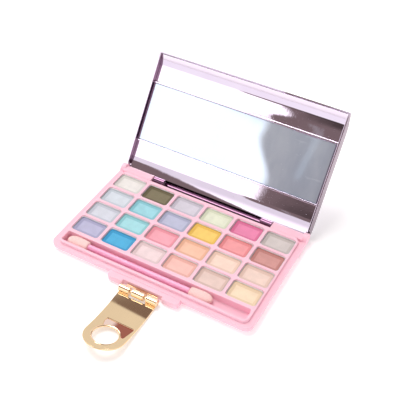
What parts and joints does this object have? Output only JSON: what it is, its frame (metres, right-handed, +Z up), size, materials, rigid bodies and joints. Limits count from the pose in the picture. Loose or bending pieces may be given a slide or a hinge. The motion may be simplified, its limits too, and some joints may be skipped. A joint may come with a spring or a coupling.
{
  "type": "eyeshadow palette",
  "caption": "Slim hinged make-up palette with rows of pressed powder pans, a mirror in its lid, a flip-over metal clasp and a loose double-ended sponge applicator.",
  "frame": {"origin": "centre of the base's flat underside", "axes": "+Z up from the surface it lies on, -Y towards the clasp, +X to the right of someone facing the clasp"},
  "size_m": [0.105, 0.1432, 0.0545],
  "materials": {
    "pink_plastic": "glossy moulded pink plastic",
    "pan_metal": "thin bright pressed sheet",
    "metallised_plastic": "mirror-bright lilac metallised plastic",
    "mirror_glass": "silvered glass",
    "foam_tape": "white double-sided foam tape",
    "gold_metal": "mirror-bright pale gold plating",
    "pin_steel": "bright drawn wire",
    "stick_plastic": "glossy pink plastic",
    "sponge": "fine-pored latex foam",
    "powder_cream_white": "pressed powder with a fine shimmer",
    "powder_olive_green": "pressed powder with a fine shimmer",
    "powder_lilac_grey": "pressed powder with a fine shimmer",
    "powder_pale_lime": "pressed powder with a fine shimmer",
    "powder_magenta": "pressed powder with a fine shimmer",
    "powder_silver_grey": "pressed powder with a fine shimmer",
    "powder_ice_blue": "pressed powder with a fine shimmer",
    "powder_aqua": "pressed powder with a fine shimmer",
    "powder_periwinkle": "pressed powder with a fine shimmer",
    "powder_golden_yellow": "pressed powder with a fine shimmer",
    "powder_coral_red": "pressed powder with a fine shimmer",
    "powder_mauve_brown": "pressed powder with a fine shimmer",
    "powder_pale_lavender": "pressed powder with a fine shimmer",
    "powder_mint": "pressed powder with a fine shimmer",
    "powder_rose_pink": "pressed powder with a fine shimmer",
    "powder_apricot": "pressed powder with a fine shimmer",
    "powder_peach_cream": "pressed powder with a fine shimmer",
    "powder_beige": "pressed powder with a fine shimmer",
    "powder_violet": "pressed powder with a fine shimmer",
    "powder_azure_blue": "pressed powder with a fine shimmer",
    "powder_blush_white": "pressed powder with a fine shimmer",
    "powder_salmon": "pressed powder with a fine shimmer",
    "powder_greige": "pressed powder with a fine shimmer",
    "powder_vanilla": "pressed powder with a fine shimmer"
  },
  "bodies": {
    "base": {"base_shell": "pink_plastic", "pan_tray": "pink_plastic", "pans_row_1": "pan_metal", "pans_row_2": "pan_metal", "pans_row_3": "pan_metal", "pans_row_4": "pan_metal", "powder_cream_white": "powder_cream_white", "powder_olive_green": "powder_olive_green", "powder_lilac_grey": "powder_lilac_grey", "powder_pale_lime": "powder_pale_lime", "powder_magenta": "powder_magenta", "powder_silver_grey": "powder_silver_grey", "powder_ice_blue": "powder_ice_blue", "powder_aqua": "powder_aqua", "powder_periwinkle": "powder_periwinkle", "powder_golden_yellow": "powder_golden_yellow", "powder_coral_red": "powder_coral_red", "powder_mauve_brown": "powder_mauve_brown", "powder_pale_lavender": "powder_pale_lavender", "powder_mint": "powder_mint", "powder_rose_pink": "powder_rose_pink", "powder_apricot": "powder_apricot", "powder_peach_cream": "powder_peach_cream", "powder_beige": "powder_beige", "powder_violet": "powder_violet", "powder_azure_blue": "powder_azure_blue", "powder_blush_white": "powder_blush_white", "powder_salmon": "powder_salmon", "powder_greige": "powder_greige", "powder_vanilla": "powder_vanilla", "hinge_pin_left": "pin_steel", "hinge_pin_right": "pin_steel", "clasp_leaf": "gold_metal", "clasp_pin": "gold_metal"},
    "lid": {"lid_shell": "metallised_plastic", "lid_liner": "metallised_plastic", "mirror": "mirror_glass", "mirror_tape": "foam_tape", "catch_button": "gold_metal"},
    "clasp": {"clasp_plate": "gold_metal"},
    "applicator": {"applicator_stick": "stick_plastic", "sponge_left": "sponge", "sponge_right": "sponge"}
  },
  "joints": [
    {"name": "lid_hinge", "type": "hinge", "parent": "base", "child": "lid", "pos_m": [0, 0.0302, 0.0036], "axis": [1, 0, 0], "range_deg": [0, 125.6]},
    {"name": "clasp_hinge", "type": "hinge", "parent": "base", "child": "clasp", "pos_m": [0, -0.0386, 0.0023], "axis": [-1, 0, 0], "range_deg": [0, 149.3]},
    {"name": "applicator_lift", "type": "slide", "parent": "base", "child": "applicator", "axis": [0, 0, 1], "range_m": [0, 0.05]}
  ]
}
